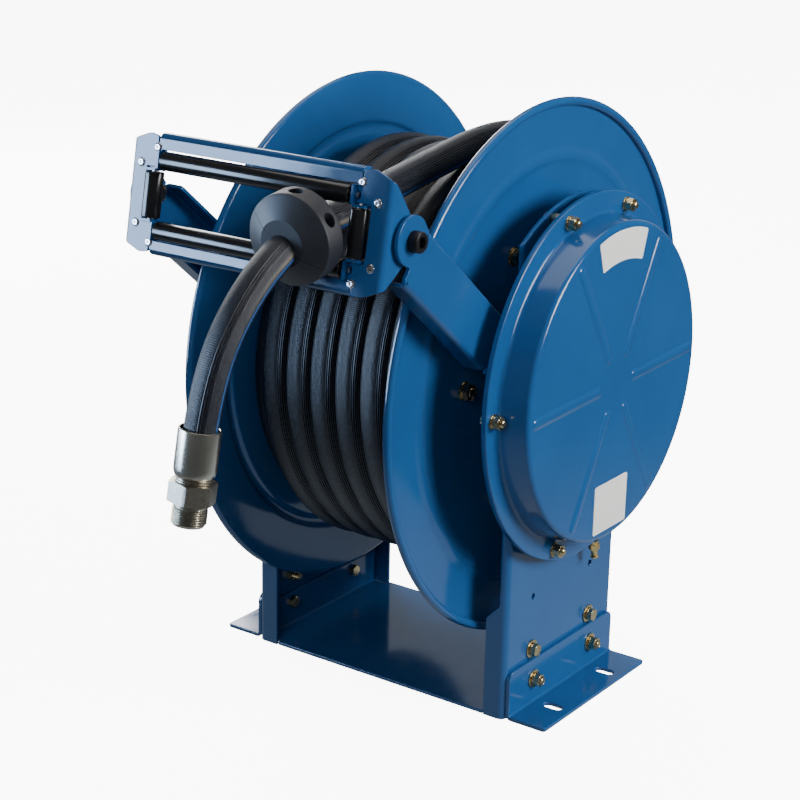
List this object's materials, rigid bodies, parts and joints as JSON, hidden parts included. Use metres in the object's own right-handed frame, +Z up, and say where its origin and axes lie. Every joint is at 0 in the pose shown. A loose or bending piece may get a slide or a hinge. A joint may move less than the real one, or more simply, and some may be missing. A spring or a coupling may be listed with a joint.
{
  "type": "spring rewind hose reel",
  "caption": "Spring rewind hose reel on twin pedestals, with a round spring case, a roller guide on tilting arms and a wound rubber hose with a ball stop.",
  "frame": {"origin": "middle of the rectangle of the base slots, on the plane that the reel stands on", "axes": "+X along the drum axis towards the spring case, -Y towards the side where the hose comes out, +Z up"},
  "size_m": [0.4466, 0.8086, 0.6523],
  "materials": {
    "blue_enamel": "gloss",
    "zinc_yellow": "satin",
    "bright_steel": "satin",
    "black_roller": "satin",
    "hose_rubber": "matte",
    "ball_rubber": "matte",
    "black_screw": "satin",
    "brass": "satin",
    "bearing_bronze": "satin",
    "cast_housing": "satin",
    "spring_steel": "satin",
    "blank_plate": "satin",
    "seal_rubber": "matte"
  },
  "bodies": {
    "stand": {"base_plate": "blue_enamel", "foot_bracket_spring_side": "blue_enamel", "foot_bracket_inlet_side": "blue_enamel", "pedestal_spring_side": "blue_enamel", "pedestal_inlet_side": "blue_enamel", "pedestal_bolts": "zinc_yellow", "pedestal_nuts": "zinc_yellow", "guide_arm_spring_side": "blue_enamel", "guide_arm_inlet_side": "blue_enamel", "arm_bolts": "zinc_yellow", "guide_pivot_screws": "black_screw", "guide_pivot_nuts": "zinc_yellow", "bearing_housing_spring_side": "cast_housing", "bearing_housing_inlet_side": "cast_housing", "bearing_bush_spring_side": "bearing_bronze", "bearing_bush_inlet_side": "bearing_bronze", "bearing_housing_bolts": "zinc_yellow", "spring_case_back": "blue_enamel", "spring_case_cover": "blue_enamel", "spring_case_bolts": "zinc_yellow", "spring_case_nuts": "zinc_yellow", "spring_case_spacers": "bright_steel", "power_spring": "spring_steel", "spring_anchor_pin": "bright_steel", "case_nipple": "brass", "blank_plates": "blank_plate", "inlet_swivel_body": "brass", "swivel_seal": "seal_rubber", "pawl_pin": "bright_steel", "pawl_spring": "spring_steel", "hose_lead": "hose_rubber"},
    "drum": {"drum_flange_spring_side": "blue_enamel", "drum_flange_inlet_side": "blue_enamel", "drum_core": "blue_enamel", "tie_rods": "zinc_yellow", "tie_rod_nuts": "zinc_yellow", "drum_hub_spring_side": "cast_housing", "drum_hub_inlet_side": "cast_housing", "drum_hub_bolts": "zinc_yellow", "main_shaft": "bright_steel", "shaft_circlips": "bright_steel", "spring_arbor": "cast_housing", "outlet_branch": "bright_steel", "ratchet_ring": "cast_housing", "hose_coil": "hose_rubber"},
    "guide": {"guide_frame": "blue_enamel", "guide_corner_brackets": "blue_enamel", "guide_rivets": "bright_steel", "guide_roller_pins": "bright_steel", "ball_stop_half_a": "ball_rubber", "ball_stop_half_b": "ball_rubber", "ball_stop_screws": "bright_steel", "hose_free_end": "hose_rubber", "hose_ferrule": "bright_steel", "hose_fitting": "bright_steel"},
    "roller_top": {"guide_roller_top": "black_roller"},
    "roller_bottom": {"guide_roller_bottom": "black_roller"},
    "roller_left": {"guide_roller_left": "black_roller"},
    "roller_right": {"guide_roller_right": "black_roller"},
    "pawl": {"pawl": "cast_housing"}
  },
  "joints": [
    {"name": "drum_spin", "type": "hinge", "parent": "stand", "child": "drum", "pos_m": [0, 0.0055, 0.3623], "axis": [1, 0, 0], "range_deg": [0, 4320], "stiffness_Nm_per_rad": 0.15, "springref_deg": -1799.09},
    {"name": "guide_tilt", "type": "hinge", "parent": "stand", "child": "guide", "pos_m": [0, -0.2938, 0.5626], "axis": [1, 0, 0], "range_deg": [-30, 15]},
    {"name": "roller_top_spin", "type": "hinge", "parent": "guide", "child": "roller_top", "pos_m": [0, -0.32091, 0.60412], "axis": [1, 0, 0], "continuous": true},
    {"name": "roller_bottom_spin", "type": "hinge", "parent": "guide", "child": "roller_bottom", "pos_m": [0, -0.33325, 0.53623], "axis": [1, 0, 0], "continuous": true},
    {"name": "roller_left_spin", "type": "hinge", "parent": "guide", "child": "roller_left", "pos_m": [-0.126, -0.32708, 0.57018], "axis": [0, 0.1789, 0.9839], "continuous": true},
    {"name": "roller_right_spin", "type": "hinge", "parent": "guide", "child": "roller_right", "pos_m": [0.126, -0.32708, 0.57018], "axis": [0, 0.1789, 0.9839], "continuous": true},
    {"name": "pawl_swing", "type": "hinge", "parent": "stand", "child": "pawl", "pos_m": [-0.1335, 0.0675, 0.4413], "axis": [1, 0, 0], "range_deg": [0, 8], "stiffness_Nm_per_rad": 0.05, "springref_deg": -20.05}
  ]
}
